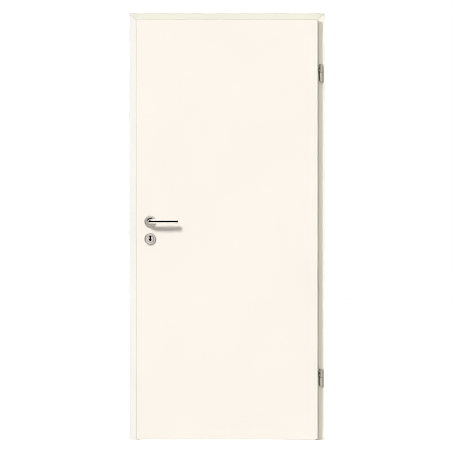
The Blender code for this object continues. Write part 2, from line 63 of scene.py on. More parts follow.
# ---------------------------------------------------------------- node helpers
class Graph:
    """A material with one Principled shader, and short calls for the nodes in front of it."""

    def __init__(self, name):
        self.mat = bpy.data.materials.new(name)
        self.mat.use_nodes = True
        self.tree = self.mat.node_tree
        self.tree.nodes.clear()
        self.shader = self.tree.nodes.new("ShaderNodeBsdfPrincipled")
        out = self.tree.nodes.new("ShaderNodeOutputMaterial")
        self.link(self.shader.outputs[0], out.inputs[0])
        coords = self.tree.nodes.new("ShaderNodeTexCoord")
        self.place = coords.outputs["Object"]
        self.facing = coords.outputs["Normal"]
        split = self.tree.nodes.new("ShaderNodeSeparateXYZ")
        self.link(self.place, split.inputs[0])
        self.x, self.y, self.z = split.outputs
        split = self.tree.nodes.new("ShaderNodeSeparateXYZ")
        self.link(self.facing, split.inputs[0])
        self.nx, self.ny, self.nz = split.outputs

    def link(self, a, b):
        self.tree.links.new(a, b)

    def feed(self, socket, value):
        if isinstance(value, bpy.types.NodeSocket):
            self.link(value, socket)
        elif isinstance(value, (tuple, list)) and socket.type == "RGBA":
            socket.default_value = (*value, 1.0) if len(value) == 3 else value
        else:
            socket.default_value = value

    def math(self, how, a, b=None, c=None, clamp=False):
        node = self.tree.nodes.new("ShaderNodeMath")
        node.operation = how
        node.use_clamp = clamp
        for k, v in enumerate((a, b, c)):
            if v is not None:
                self.feed(node.inputs[k], v)
        return node.outputs[0]

    def above(self, a, b):
        return self.math("GREATER_THAN", a, b)

    def below(self, a, b):
        return self.math("LESS_THAN", a, b)

    def both(self, *flags):
        made = flags[0]
        for f in flags[1:]:
            made = self.math("MULTIPLY", made, f)
        return made

    def either(self, *flags):
        made = flags[0]
        for f in flags[1:]:
            made = self.math("MAXIMUM", made, f)
        return made

    def vector(self, x, y, z):
        node = self.tree.nodes.new("ShaderNodeCombineXYZ")
        for k, v in enumerate((x, y, z)):
            self.feed(node.inputs[k], v)
        return node.outputs[0]

    def stretched(self, sx, sy, sz):
        node = self.tree.nodes.new("ShaderNodeMapping")
        self.link(self.place, node.inputs["Vector"])
        node.inputs["Scale"].default_value = (sx, sy, sz)
        return node.outputs[0]

    def noise(self, scale, detail=2.0, rough=0.5, where=None, distort=0.0):
        node = self.tree.nodes.new("ShaderNodeTexNoise")
        self.link(where or self.place, node.inputs["Vector"])
        node.inputs["Scale"].default_value = scale
        node.inputs["Detail"].default_value = detail
        node.inputs["Roughness"].default_value = rough
        node.inputs["Distortion"].default_value = distort
        return node.outputs[0]

    def cells(self, scale, where=None, feature="F1", out="Color"):
        node = self.tree.nodes.new("ShaderNodeTexVoronoi")
        node.feature = feature
        self.link(where or self.place, node.inputs["Vector"])
        node.inputs["Scale"].default_value = scale
        return node.outputs[out]

    def span(self, value, low, high, to_low=0.0, to_high=1.0):
        node = self.tree.nodes.new("ShaderNodeMapRange")
        self.feed(node.inputs["Value"], value)
        for k, v in (("From Min", low), ("From Max", high), ("To Min", to_low), ("To Max", to_high)):
            node.inputs[k].default_value = v
        return node.outputs[0]

    def ramp(self, value, *stops):
        node = self.tree.nodes.new("ShaderNodeValToRGB")
        self.feed(node.inputs[0], value)
        points = node.color_ramp.elements
        while len(points) < len(stops):
            points.new(0.5)
        for point, (at, colour) in zip(points, stops):
            point.position = at
            point.color = (*colour, 1.0)
        return node.outputs[0]

    def blend(self, factor, a, b, how="MIX"):
        node = self.tree.nodes.new("ShaderNodeMix")
        node.data_type = "RGBA"
        node.blend_type = how
        self.feed(node.inputs[0], factor)
        self.feed(node.inputs[6], a)
        self.feed(node.inputs[7], b)
        return node.outputs[2]

    def bump(self, height, strength, distance, under=None):
        node = self.tree.nodes.new("ShaderNodeBump")
        node.inputs["Strength"].default_value = strength
        node.inputs["Distance"].default_value = distance
        self.feed(node.inputs["Height"], height)
        if under is not None:
            self.link(under, node.inputs["Normal"])
        return node.outputs[0]

    def set(self, **values):
        for name, value in values.items():
            self.feed(self.shader.inputs[name.replace("_", " ")], value)
        return self.mat


def chipboard(g, scale=430.0, light=(0.60, 0.46, 0.31), dark=(0.33, 0.22, 0.13)):
    """Pressed chips, a few millimetres across, with fine dust between them."""
    chips = g.cells(scale, g.stretched(1.0, 1.35, 0.8))
    grey = g.tree.nodes.new("ShaderNodeSeparateColor")
    g.link(chips, grey.inputs[0])
    fine = g.noise(scale * 3.0, 3.0, 0.6)
    tone = g.math("ADD", g.math("MULTIPLY", grey.outputs[0], 0.65), g.math("MULTIPLY", fine, 0.35))
    return g.ramp(tone, (0.18, dark), (0.5, tuple((a + b) / 2 for a, b in zip(light, dark))), (0.82, light)), tone


def lacquer(name, colour, lengthwise, raw=None, raw_look="chips", dark=None, sheen=0.40, tone=0.010, arris=0.86, bright_right=False, mitred=False):
    """Satin white coating: faint cloudiness, a fine texture along the piece, slightly uneven gloss. raw(g) marks
    uncoated faces, dark(g) the inside of bores, which is painted near-black as shade, and arris is the tone of the
    rounded edges, painted shade that darkens them.
    """
    g = Graph(name)
    cloud = g.noise(1.9, 3.0, 0.55)
    grain_scale = {"x": (18.0, 900.0, 900.0), "z": (900.0, 900.0, 18.0), "xz": (260.0, 260.0, 260.0)}[lengthwise]
    grain = g.noise(1.0, 3.0, 0.6, g.stretched(*grain_scale))
    peel = g.noise(420.0, 2.0, 0.5)
    specks = g.noise(1500.0, 1.0, 0.4)
    shade = g.math("ADD", g.span(cloud, 0.35, 0.65, 1.0 - tone, 1.0 + tone), g.span(grain, 0.3, 0.7, -tone * 0.45, tone * 0.45))
    shade = g.math("ADD", shade, g.span(specks, 0.3, 0.7, -tone * 0.3, tone * 0.3))
    largest = g.math("MAXIMUM", g.math("MAXIMUM", g.math("ABSOLUTE", g.nx), g.math("ABSOLUTE", g.ny)), g.math("ABSOLUTE", g.nz))
    # Painted shade: the rounded edges are darkened down to the arris tone, as shade would fall on them.
    edge_shade = g.span(largest, 0.90, 0.995, arris, 1.0)
    if bright_right:
        # The hinge-side edge, below the top, is left without the painted edge shade.
        edge_shade = g.math("MAXIMUM", edge_shade, g.both(g.above(g.x, -0.010), g.below(g.z, 1.987)))
    shade = g.math("MULTIPLY", shade, edge_shade)
    if mitred:
        # The corner joints of the casings show as fine dark lines: partly the dark joint itself, partly painted shade
        # at the bottom of the groove.
        lock_joint = g.math("ABSOLUTE", g.math("SUBTRACT", g.math("ADD", g.x, g.z), 1.1345))
        hinge_joint = g.math("ABSOLUTE", g.math("SUBTRACT", g.math("SUBTRACT", g.z, g.x), 1.9895))
        joint_line_and_shade = g.span(g.math("MINIMUM", lock_joint, hinge_joint), 0.0007, 0.0013, 0.32, 1.0)
        on_casing = g.both(g.above(g.z, 1.985), g.above(g.math("ABSOLUTE", g.ny), 0.8))
        shade = g.math("MULTIPLY", shade, g.math("MAXIMUM", joint_line_and_shade, g.math("SUBTRACT", 1.0, on_casing)))
    base = g.blend(1.0, colour, g.vector(shade, shade, shade), "MULTIPLY")
    gloss = g.math("ADD", g.span(cloud, 0.3, 0.7, sheen - 0.03, sheen + 0.03), g.span(grain, 0.3, 0.7, -0.02, 0.02))
    rise = g.math("ADD", g.math("MULTIPLY", peel, 0.6), g.math("MULTIPLY", grain, 0.4))
    normal = g.bump(rise, 0.10, 0.00035)
    if raw is not None:
        mark = raw(g)
        if raw_look == "chips":
            look, height = chipboard(g)
        else:
            fibre = g.noise(1.0, 4.0, 0.65, g.stretched(900.0, 240.0, 900.0))
            look = g.ramp(fibre, (0.25, (0.36, 0.26, 0.17)), (0.75, (0.53, 0.41, 0.29)))
            height = fibre
        base = g.blend(mark, base, look)
        gloss = g.math("ADD", gloss, g.math("MULTIPLY", mark, 0.42), clamp=True)
        normal = g.bump(g.both(height, mark), 0.35, 0.0004, normal)
    if dark is not None:
        # Painted shade: the inside of the bore is painted near-black.
        mark = dark(g)
        base = g.blend(mark, base, (0.012, 0.011, 0.010))
    g.set(Base_Color=base, Roughness=gloss, Normal=normal)
    g.shader.inputs["Specular IOR Level"].default_value = 0.45
    return g.mat


def keyhole_shade_zone(g, radius=0.0135):
    """Marks what lies close to the line of the keyhole, away from the leaf's own faces: the keyhole's inside, which is
    painted near-black as shade.
    """
    dx = g.math("SUBTRACT", g.x, KEYHOLE[0])
    dz = g.math("SUBTRACT", g.z, KEYHOLE[1] + 0.004)
    far = g.math("SQRT", g.math("ADD", g.math("MULTIPLY", dx, dx), g.math("MULTIPLY", dz, dz)))
    return g.both(g.below(far, radius), g.below(g.math("ABSOLUTE", g.ny), 0.5))


def turned_metal(name, colour, centre, rough, depth=0.16, tint=0.05, rim=0.60, groove=None, well=None):
    """Metal brushed in circles round a point of the leaf's face, as roses are, with painted shade: darker towards the
    rim, dark in a fine groove, and darker on the upper part of the floor of a well.
    """
    g = Graph(name)
    dx = g.math("SUBTRACT", g.x, centre[0])
    dz = g.math("SUBTRACT", g.z, centre[1])
    far = g.math("SQRT", g.math("ADD", g.math("MULTIPLY", dx, dx), g.math("MULTIPLY", dz, dz)))
    safe = g.math("MAXIMUM", far, 0.0005)
    ring = g.vector(g.math("MULTIPLY", far, 4200.0), g.math("MULTIPLY", g.math("DIVIDE", dx, safe), 2.6),
                    g.math("MULTIPLY", g.math("DIVIDE", dz, safe), 2.6))
    lines = g.noise(1.0, 3.0, 0.65, ring)
    cloud = g.noise(90.0, 3.0, 0.55)
    specks = g.noise(2600.0, 1.0, 0.5)
    shade = g.math("ADD", g.span(lines, 0.3, 0.7, 1.0 - tint, 1.0 + tint), g.span(cloud, 0.35, 0.65, -tint * 0.5, tint * 0.5))
    # Painted shade: the tone falls to rim at the rose's outer edge.
    shade = g.math("MULTIPLY", shade, g.span(far, 0.0225, 0.0275, 1.0, rim))
    if groove is not None:
        # Painted shade: a dark ring at radius groove, in the step of the key rose's recess.
        line = g.span(g.math("ABSOLUTE", g.math("SUBTRACT", far, groove)), 0.0003, 0.0007, 0.25, 1.0)
        shade = g.math("MULTIPLY", shade, line)
    if well is not None:
        # Painted shadow: the floor of the well is darkened towards its upper side, where its wall would shade it from
        # the light above.
        deep = g.below(far, well)
        recess_shadow = g.span(g.math("SUBTRACT", g.math("MULTIPLY", dz, 0.92), g.math("MULTIPLY", dx, 0.04)), 0.000, 0.007, 1.0, 0.14)
        shade = g.math("MULTIPLY", shade, g.math("ADD", g.math("SUBTRACT", 1.0, deep), g.math("MULTIPLY", deep, recess_shadow)))
    base = g.blend(1.0, colour, g.vector(shade, shade, shade), "MULTIPLY")
    gloss = g.math("ADD", g.span(lines, 0.3, 0.7, rough - 0.05, rough + 0.05), g.span(cloud, 0.35, 0.65, -0.03, 0.03))
    normal = g.bump(g.math("ADD", g.math("MULTIPLY", lines, 0.8), g.math("MULTIPLY", specks, 0.2)), depth, 0.0002)
    g.set(Base_Color=base, Roughness=gloss, Normal=normal)
    g.shader.inputs["Metallic"].default_value = 1.0
    return g.mat


def brushed_metal(name, colour, rough, along="z", metallic=1.0, depth=0.14, tint=0.05, smudge=0.03, thread=None):
    """Metal with fine straight brushing along one axis, with faint handling marks. What lies left of thread is a dowel
    with a cut thread, darker partly as dull threaded metal and partly as painted shade of the gap it crosses.
    """
    g = Graph(name)
    fine, run = 2600.0, 60.0
    scale = {"x": (run, fine, fine), "y": (fine, run, fine), "z": (fine, fine, run)}[along]
    lines = g.noise(1.0, 3.0, 0.6, g.stretched(*scale))
    cloud = g.noise(70.0, 3.0, 0.6)
    shade = g.math("ADD", g.span(lines, 0.3, 0.7, 1.0 - tint, 1.0 + tint), g.span(cloud, 0.35, 0.65, -tint * 0.5, tint * 0.5))
    base = g.blend(1.0, colour, g.vector(shade, shade, shade), "MULTIPLY")
    gloss = g.math("ADD", g.span(lines, 0.3, 0.7, rough - 0.04, rough + 0.04), g.span(cloud, 0.35, 0.65, -smudge, smudge))
    normal = g.bump(lines, depth, 0.00015)
    if thread is not None:
        mark = g.below(g.x, thread)
        turns = g.math("ABSOLUTE", g.math("SUBTRACT", g.math("FRACT", g.math("ADD", g.math("MULTIPLY", g.x, 900.0), g.math("MULTIPLY", g.z, 60.0))), 0.5))
        # Partly painted shade: the dowel's darker tone also stands in for the shade in the gap between the leaf's edge
        # and the knuckle.
        base = g.blend(mark, base, g.blend(g.span(turns, 0.0, 0.5, 0.0, 1.0), (0.34, 0.325, 0.28), (0.52, 0.50, 0.44)))
        gloss = g.math("ADD", gloss, g.math("MULTIPLY", mark, 0.2))
        normal = g.bump(g.both(mark, turns), 0.5, 0.0004, normal)
    g.set(Base_Color=base, Roughness=gloss, Normal=normal)
    g.shader.inputs["Metallic"].default_value = metallic
    return g.mat


def polished_metal(name, colour, rough):
    """Mirror-polished bar with hairline scratches and a little grease in the gloss."""
    g = Graph(name)
    hair = g.noise(1.0, 2.0, 0.5, g.stretched(55.0, 3200.0, 3200.0))
    grease = g.noise(48.0, 4.0, 0.6)
    base = g.blend(g.span(grease, 0.35, 0.7, 0.0, 1.0), colour, tuple(v * 0.965 for v in colour))
    gloss = g.math("ADD", g.span(grease, 0.35, 0.7, rough - 0.02, rough + 0.03), g.span(hair, 0.55, 0.75, 0.0, 0.03))
    g.set(Base_Color=base, Roughness=gloss, Normal=g.bump(hair, 0.02, 0.0001))
    g.shader.inputs["Metallic"].default_value = 1.0
    return g.mat


# ---------------------------------------------------------------- materials
LEAF_WHITE = (0.967, 0.918, 0.851)
FRAME_WHITE = (0.930, 0.900, 0.835)

# Painted shade: the leaf's rounded edges are darkened strongly (arris), and the keyhole's bore is painted near-black
# (dark).
leaf_white = lacquer(
    "leaf_white", LEAF_WHITE, "xz",
    raw=lambda g: g.both(g.below(g.nz, -0.5), g.below(g.z, 0.0076)), raw_look="fibre", dark=keyhole_shade_zone, arris=0.45, bright_right=True,
)


def frame_raw(g):
    """Faces of the lining and the casings that meet the wall or the floor, and the pockets behind the strike plate."""
    floor = g.both(g.below(g.nz, -0.5), g.below(g.z, 0.001))
    hinge_side = g.both(g.above(g.nx, 0.5), g.above(g.x, -0.0006), g.below(g.x, 0.0006))
    lock_side = g.both(g.below(g.nx, -0.5), g.below(g.x, -0.8544), g.above(g.x, -0.8556))
    head_side = g.both(g.above(g.nz, 0.5), g.above(g.z, 1.9889), g.below(g.z, 1.9901))
    front_back = g.both(g.above(g.ny, 0.5), g.above(g.y, -0.0728), g.below(g.y, -0.0722))
    rear_back = g.both(g.below(g.ny, -0.5), g.above(g.y, 0.0), g.below(g.y, 0.0734))
    tongue = g.both(g.above(g.y, 0.04), g.below(g.y, 0.0722), g.below(g.math("ABSOLUTE", g.ny), 0.5),
                    g.either(g.above(g.x, -0.0145), g.below(g.x, -0.8405), g.above(g.z, 1.9750)))
    pocket = g.both(g.below(g.x, -0.8513), g.above(g.x, -0.8740), g.above(g.y, -0.0873), g.below(g.y, -0.0757),
                    g.above(g.z, 0.940), g.below(g.z, 1.056))
    return g.either(floor, hinge_side, lock_side, head_side, front_back, rear_back, tongue, pocket)


def tinted(colour, *share):
    return tuple(v * k for v, k in zip(colour, share))


# Painted light: the three frame materials are lit and shaded copies of one white. The head casing is painted darker as
# shade, with painted shade on its rounded edges (default arris), the lock side is lighter and cooler and the hinge side
# warmer, as light falls on each.
frame_lock = lacquer("frame_white_lock_side", tinted(FRAME_WHITE, 1.008, 1.01, 1.07), "z", raw=frame_raw, arris=1.0, mitred=True)
frame_hinge = lacquer("frame_white_hinge_side", tinted(FRAME_WHITE, 0.985, 1.0, 0.93), "z", raw=frame_raw, arris=1.0, mitred=True)
frame_across = lacquer("frame_white_across", tinted(FRAME_WHITE, 0.923, 0.952, 0.912), "x", raw=frame_raw, mitred=True)


def edge_band():
    """Coated edges of the leaf, with bare wood on the underside and inside the lock's mortise."""
    g = Graph("leaf_edge")
    wood_rings = g.noise(1.0, 4.0, 0.6, g.stretched(120.0, 260.0, 6.0), distort=0.8)
    wood = g.ramp(wood_rings, (0.3, (0.50, 0.35, 0.20)), (0.55, (0.66, 0.50, 0.31)), (0.75, (0.74, 0.59, 0.40)))
    cloud = g.noise(2.3, 2.0, 0.5)
    grain = g.noise(1.0, 3.0, 0.6, g.stretched(900.0, 900.0, 20.0))
    shade = g.math("ADD", g.span(cloud, 0.35, 0.65, 0.988, 1.008), g.span(grain, 0.3, 0.7, -0.006, 0.006))
    coat = g.blend(1.0, tuple(v * 0.985 for v in LEAF_WHITE), g.vector(shade, shade, shade), "MULTIPLY")
    under = g.both(g.below(g.nz, -0.5), g.below(g.z, 0.008))
    inside = g.both(g.above(g.x, FACEPLATE_X + 0.0008), g.below(g.x, -0.70), g.above(g.z, 0.85), g.below(g.z, 1.15))
    bare = g.either(under, inside)
    gloss = g.math("ADD", g.span(grain, 0.3, 0.7, 0.42, 0.47), g.math("MULTIPLY", bare, 0.3), clamp=True)
    height = g.math("ADD", g.math("MULTIPLY", grain, 0.5), g.both(wood_rings, bare))
    g.set(Base_Color=g.blend(bare, coat, wood), Roughness=gloss, Normal=g.bump(height, 0.12, 0.0003))
    g.shader.inputs["Specular IOR Level"].default_value = 0.4
    return g.mat


def core_material():
    g = Graph("core_chips")
    look, height = chipboard(g, 300.0)
    # Painted shade: the chips round the keyhole's bore are painted near-black.
    g.set(Base_Color=g.blend(keyhole_shade_zone(g, 0.02), look, (0.012, 0.010, 0.008)), Roughness=0.85, Normal=g.bump(height, 0.4, 0.0006))
    return g.mat


def seal_material():
    """Soft extruded seal: matt, faintly ribbed along its length, with a little dust."""
    g = Graph("seal_soft")
    dust = g.noise(260.0, 4.0, 0.6)
    ribs = g.noise(1.0, 1.0, 0.4, g.stretched(1500.0, 1500.0, 14.0))
    base = g.ramp(dust, (0.3, (0.63, 0.61, 0.56)), (0.7, (0.72, 0.70, 0.64)))
    g.set(Base_Color=base, Roughness=g.span(dust, 0.3, 0.7, 0.55, 0.7), Normal=g.bump(ribs, 0.25, 0.0002))
    g.shader.inputs["Sheen Weight"].default_value = 0.15
    return g.mat


def nylon_material():
    g = Graph("nylon_ring")
    fine = g.noise(900.0, 2.0, 0.5)
    g.set(Base_Color=g.ramp(fine, (0.3, (0.045, 0.045, 0.043)), (0.7, (0.075, 0.074, 0.07))), Roughness=g.span(fine, 0.3, 0.7, 0.45, 0.6),
          Normal=g.bump(fine, 0.15, 0.0002))
    return g.mat


def zinc_material():
    """Bright zinc plating: soft crystal patches on a satin ground. What lies near the keyhole is painted near-black,
    matt and not metallic, as painted shade inside the lock.
    """
    g = Graph("zinc_plating")
    patch = g.noise(160.0, 3.0, 0.6)
    grain = g.noise(1.0, 2.0, 0.5, g.stretched(1800.0, 1800.0, 90.0))
    base = g.ramp(patch, (0.3, (0.56, 0.565, 0.56)), (0.7, (0.68, 0.68, 0.66)))
    dx = g.math("SUBTRACT", g.x, KEYHOLE[0])
    dz = g.math("SUBTRACT", g.z, KEYHOLE[1])
    far = g.math("SQRT", g.math("ADD", g.math("MULTIPLY", dx, dx), g.math("MULTIPLY", dz, dz)))
    # Painted shade inside the keyhole.
    hole = g.below(far, 0.024)
    gloss = g.math("ADD", g.span(patch, 0.3, 0.7, 0.32, 0.42), g.span(grain, 0.3, 0.7, -0.03, 0.03))
    g.set(Base_Color=g.blend(hole, base, (0.010, 0.009, 0.008)), Roughness=g.math("ADD", gloss, g.math("MULTIPLY", hole, 0.5), clamp=True),
          Normal=g.bump(grain, 0.1, 0.0002), Metallic=g.math("SUBTRACT", 1.0, hole))
    return g.mat


ROSE_COLOUR = (0.84, 0.80, 0.745)
handle_rose = turned_metal("rose_satin_handle", ROSE_COLOUR, HANDLE, 0.45, well=0.0155)
key_rose = turned_metal("rose_satin_key", ROSE_COLOUR, KEYHOLE, 0.45, groove=0.0164)
steel = brushed_metal("steel_brushed", (0.64, 0.615, 0.57), 0.34, "z")
hinge_metal = brushed_metal("hinge_satin_nickel", (0.56, 0.55, 0.47), 0.42, "z", thread=0.0127)
polished = polished_metal("grip_polished", (0.955, 0.938, 0.91), 0.055)
zinc = zinc_material()
edge = edge_band()
core = core_material()
seal = seal_material()
nylon = nylon_material()

USED = {
    "frame_lock": (frame_lock, ["lining_lock", "casing_front_lock", "casing_rear_lock"]),
    "frame_hinge": (frame_hinge, ["lining_hinge", "casing_front_hinge", "casing_rear_hinge"]),
    "frame_across": (frame_across, ["lining_head", "casing_front_head", "casing_rear_head"]),
    "leaf_white": (leaf_white, ["leaf_skin_front", "leaf_skin_rear"]),
    "edge": (edge, ["leaf_stile_lock", "leaf_stile_hinge", "leaf_rail_top", "leaf_rail_bottom", "leaf_lap_lock", "leaf_lap_hinge", "leaf_lap_head"]),
    "core": (core, ["leaf_core"]),
    "seal": (seal, ["seal_lock", "seal_hinge", "seal_head"]),
    "handle_rose": (handle_rose, ["handle_rose_front", "handle_rose_rear"]),
    "key_rose": (key_rose, ["key_rose_front", "key_rose_rear"]),
    "steel": (steel, ["lock_faceplate", "latch_bolt", "dead_bolt", "hinge_upper_pin", "hinge_lower_pin"]),
    "hinge": (hinge_metal, ["hinge_upper_frame_part", "hinge_lower_frame_part", "hinge_upper_leaf_part", "hinge_lower_leaf_part"]),
    "polished": (polished, ["lever_front", "lever_rear"]),
    "zinc": (zinc, ["strike_plate", "lock_case", "spindle"]),
    "nylon": (nylon, ["hinge_upper_washer", "hinge_lower_washer"]),
}
for mat, names in USED.values():
    for n in names:
        for s in NODES[n].material_slots:
            s.material = mat


def soft_shading(name, limit):
    """Node group that shades a mesh smooth over every edge flatter than the limit. The shape stays as it is."""
    tree = bpy.data.node_groups.new(name, "GeometryNodeTree")
    tree.interface.new_socket("Geometry", in_out="INPUT", socket_type="NodeSocketGeometry")
    tree.interface.new_socket("Geometry", in_out="OUTPUT", socket_type="NodeSocketGeometry")

    def add(kind, **values):
        made = tree.nodes.new(kind)
        for k, v in values.items():
            setattr(made, k, v)
        return made

    first, last = add("NodeGroupInput"), add("NodeGroupOutput")
    weld = add("GeometryNodeMergeByDistance")
    weld.inputs["Distance"].default_value = 1e-6
    drop = add("GeometryNodeRemoveAttribute")
    drop.inputs["Name"].default_value = "custom_normal"
    faces = add("GeometryNodeSetShadeSmooth", domain="FACE")
    faces.inputs["Shade Smooth"].default_value = True
    angle = add("GeometryNodeInputMeshEdgeAngle")
    flat = add("FunctionNodeCompare", data_type="FLOAT", operation="LESS_THAN")
    flat.inputs[1].default_value = math.radians(limit)
    edges = add("GeometryNodeSetShadeSmooth", domain="EDGE")
    chain = [first, weld, drop, faces, edges, last]
    for a, b in zip(chain, chain[1:]):
        tree.links.new(a.outputs[0], b.inputs[0])
    tree.links.new(angle.outputs[0], flat.inputs[0])
    tree.links.new(flat.outputs[0], edges.inputs["Shade Smooth"])
    return tree


ROUND = {
    "lever_front", "lever_rear", "handle_rose_front", "handle_rose_rear", "key_rose_front", "key_rose_rear", "hinge_upper_frame_part",
    "hinge_lower_frame_part", "hinge_upper_leaf_part", "hinge_lower_leaf_part", "hinge_upper_pin", "hinge_lower_pin",
    "hinge_upper_washer", "hinge_lower_washer",
}
round_shading, flat_shading = soft_shading("round_shading", 50.0), soft_shading("flat_shading", 32.0)
for n, o in NODES.items():
    o.modifiers.new("soft_shading", "NODES").node_group = round_shading if n in ROUND else flat_shading
    if n not in ROUND:
        # Big faces keep their own direction, and only the small rounded edges are blended.
        level = o.modifiers.new("level_faces", "WEIGHTED_NORMAL")
        level.keep_sharp = True
        level.weight = 100


# ---------------------------------------------------------------- small fittings
def new_object(name, bm, mat, smooth=35.0):
    bmesh.ops.recalc_face_normals(bm, faces=bm.faces)
    mesh = bpy.data.meshes.new(name)
    bm.to_mesh(mesh)
    bm.free()
    mesh.materials.append(mat)
    mesh.shade_smooth()
    mesh.set_sharp_from_angle(angle=math.radians(smooth))
    made = bpy.data.objects.new(name, mesh)
    bpy.context.scene.collection.objects.link(made)
    return made


def turned(profile, centre, axis, segments=40):
    """Closed solid of revolution. profile is [(radius, height)] from the middle of the underside to the middle of the top; axis is where it faces."""
    axis = Vector(axis).normalized()
    side = axis.orthogonal().normalized()
    other = axis.cross(side)
    centre = Vector(centre)
    bm = bmesh.new()
    rings = []
    for r, h in profile:
        if r < 1e-9:
            rings.append([bm.verts.new(centre + axis * h)])
        else:
            rings.append([
                bm.verts.new(centre + axis * h + (side * math.cos(a) + other * math.sin(a)) * r)
                for a in (2 * math.pi * k / segments for k in range(segments))
            ])
    for low, high in zip(rings, rings[1:]):
        for k in range(segments):
            j = (k + 1) % segments
            if len(low) == 1:
                bm.faces.new((low[0], high[k], high[j]))
            elif len(high) == 1:
                bm.faces.new((low[k], low[j], high[0]))
            else:
                bm.faces.new((low[k], low[j], high[j], high[k]))
    return bm


def prism(outline, centre, axis, up, low, high, shrink=1.0):
    """Closed prism over a flat outline, drawn about centre; its far end may be smaller."""
    axis, up = Vector(axis).normalized(), Vector(up).normalized()
    side = up.cross(axis)
    bm = bmesh.new()
    rings = []
    for h, s in ((low, shrink), (high, 1.0)):
        rings.append([bm.verts.new(Vector(centre) + axis * h + side * (a * s) + up * (b * s)) for a, b in outline])
    n = len(outline)
    for k in range(n):
        bm.faces.new((rings[0][k], rings[0][(k + 1) % n], rings[1][(k + 1) % n], rings[1][k]))
    bm.faces.new(list(reversed(rings[0])))
    bm.faces.new(rings[1])
    return bm


def carve(obj, bm, mat):
    """Cuts a closed shape out of obj, for good."""
    tool = new_object(obj.name + "_tool", bm, mat)
    step = obj.modifiers.new("carve", "BOOLEAN")
    step.operation = "DIFFERENCE"
    step.solver = "EXACT"
    step.object = tool
    step.material_mode = "TRANSFER"
    done = bpy.data.meshes.new_from_object(obj.evaluated_get(bpy.context.evaluated_depsgraph_get()))
    obj.modifiers.clear()
    obj.data = done
    bpy.data.objects.remove(tool, do_unlink=True)
    obj.data.shade_smooth()
    obj.data.set_sharp_from_angle(angle=math.radians(35.0))


# Painted shade: the faces of the cross recesses and hex sockets get this dark steel, standing in for the shade inside
# them.
recess_shade = brushed_metal("recess_shade", (0.16, 0.155, 0.15), 0.5, "z")


def shade_plate_material():
    """Dark moulded plastic, matt, with fine ribs across: its dark tone is painted shade for the gap beside a hinge."""
    g = Graph("packer_plastic")
    fine = g.noise(1100.0, 2.0, 0.5)
    ribs = g.math("ABSOLUTE", g.math("SUBTRACT", g.math("FRACT", g.math("MULTIPLY", g.z, 500.0)), 0.5))
    g.set(Base_Color=g.ramp(fine, (0.3, (0.250, 0.226, 0.185)), (0.7, (0.310, 0.284, 0.238))), Roughness=g.span(fine, 0.3, 0.7, 0.55, 0.7),
          Normal=g.bump(g.math("ADD", ribs, g.math("MULTIPLY", fine, 0.3)), 0.3, 0.0002))
    return g.mat


shade_plate_dark = shade_plate_material()


def cross_outline(reach, half):
    return [
        (half, reach), (-half, reach), (-half, half), (-reach, half), (-reach, -half), (-half, -half),
        (-half, -reach), (half, -reach), (half, -half), (reach, -half), (reach, half), (half, half),
    ]


def oval_screw(name, centre, axis, body, head=0.0038, rise=0.0006):
    """Raised countersunk screw head with a cross recess, seated in its plate."""
    profile = [
        (0.0, -0.0020), (head * 0.45, -0.0020), (head * 0.97, -0.0001), (head, 0.00012), (head * 0.93, rise * 0.5),
        (head * 0.72, rise * 0.82), (head * 0.4, rise * 0.97), (0.0, rise),
    ]
    made = new_object(name, turned(profile, centre, axis), steel)
    up = (0.0, 0.26, 1.0) if "upper" in name else (0.0, -0.5, 1.0)
    up = Vector(up) - Vector(axis) * Vector(up).dot(Vector(axis))
    carve(made, prism(cross_outline(head * 0.62, head * 0.13), centre, axis, up, -0.0014, 0.002, 0.8), recess_shade)
    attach(made, body)
    return made


def grub_screw(name, centre, body):
    """Socket set screw in the underside of a lever's neck."""
    profile = [(0.0, -0.004), (0.0022, -0.004), (0.0022, 0.0), (0.0019, 0.0003), (0.0, 0.0003)]
    made = new_object(name, turned(profile, centre, (0, 0, -1)), steel)
    hexagon = [(0.00135 * math.cos(math.radians(60 * k)), 0.00135 * math.sin(math.radians(60 * k))) for k in range(6)]
    carve(made, prism(hexagon, centre, (0, 0, -1), (0, 1, 0), -0.0022, 0.001), recess_shade)
    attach(made, body)
    return made


def packer(name, z):
    """Thin dark plate on the casing behind a hinge, with rounded corners and edges and a shallow row of ribs, put there
    as painted shade in the gap between the leaf's edge and the knuckle.
    """
    left, right, half, thick, corner = 0.0086, 0.0164, 0.0402, 0.0007, 0.0016
    outline = []
    for cx, cz, start in ((right, half, 0), (left, half, 90), (left, -half, 180), (right, -half, 270)):
        sx, sz = (-1 if cx == right else 1), (-1 if cz > 0 else 1)
        for k in range(7):
            a = math.radians(start + 15 * k)
            outline.append((cx + sx * corner + corner * math.cos(a), cz + sz * corner + corner * math.sin(a)))
    mid = (left + right) / 2
    bm = bmesh.new()
    rings = []
    for inset, y in ((0.0, -0.08855), (0.0, -0.08855 - thick + 0.0002), (0.0002, -0.08855 - thick)):
        rings.append([
            bm.verts.new((mid + (px - mid) * (1 - inset / 0.0039), y, z + pz * (1 - inset / half))) for px, pz in outline
        ])
    n = len(outline)
    for low, high in zip(rings, rings[1:]):
        for k in range(n):
            bm.faces.new((low[k], low[(k + 1) % n], high[(k + 1) % n], high[k]))
    bm.faces.new(list(reversed(rings[0])))
    bm.faces.new(rings[-1])
    made = new_object(name, bm, shade_plate_dark)
    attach(made, "frame")
    return made


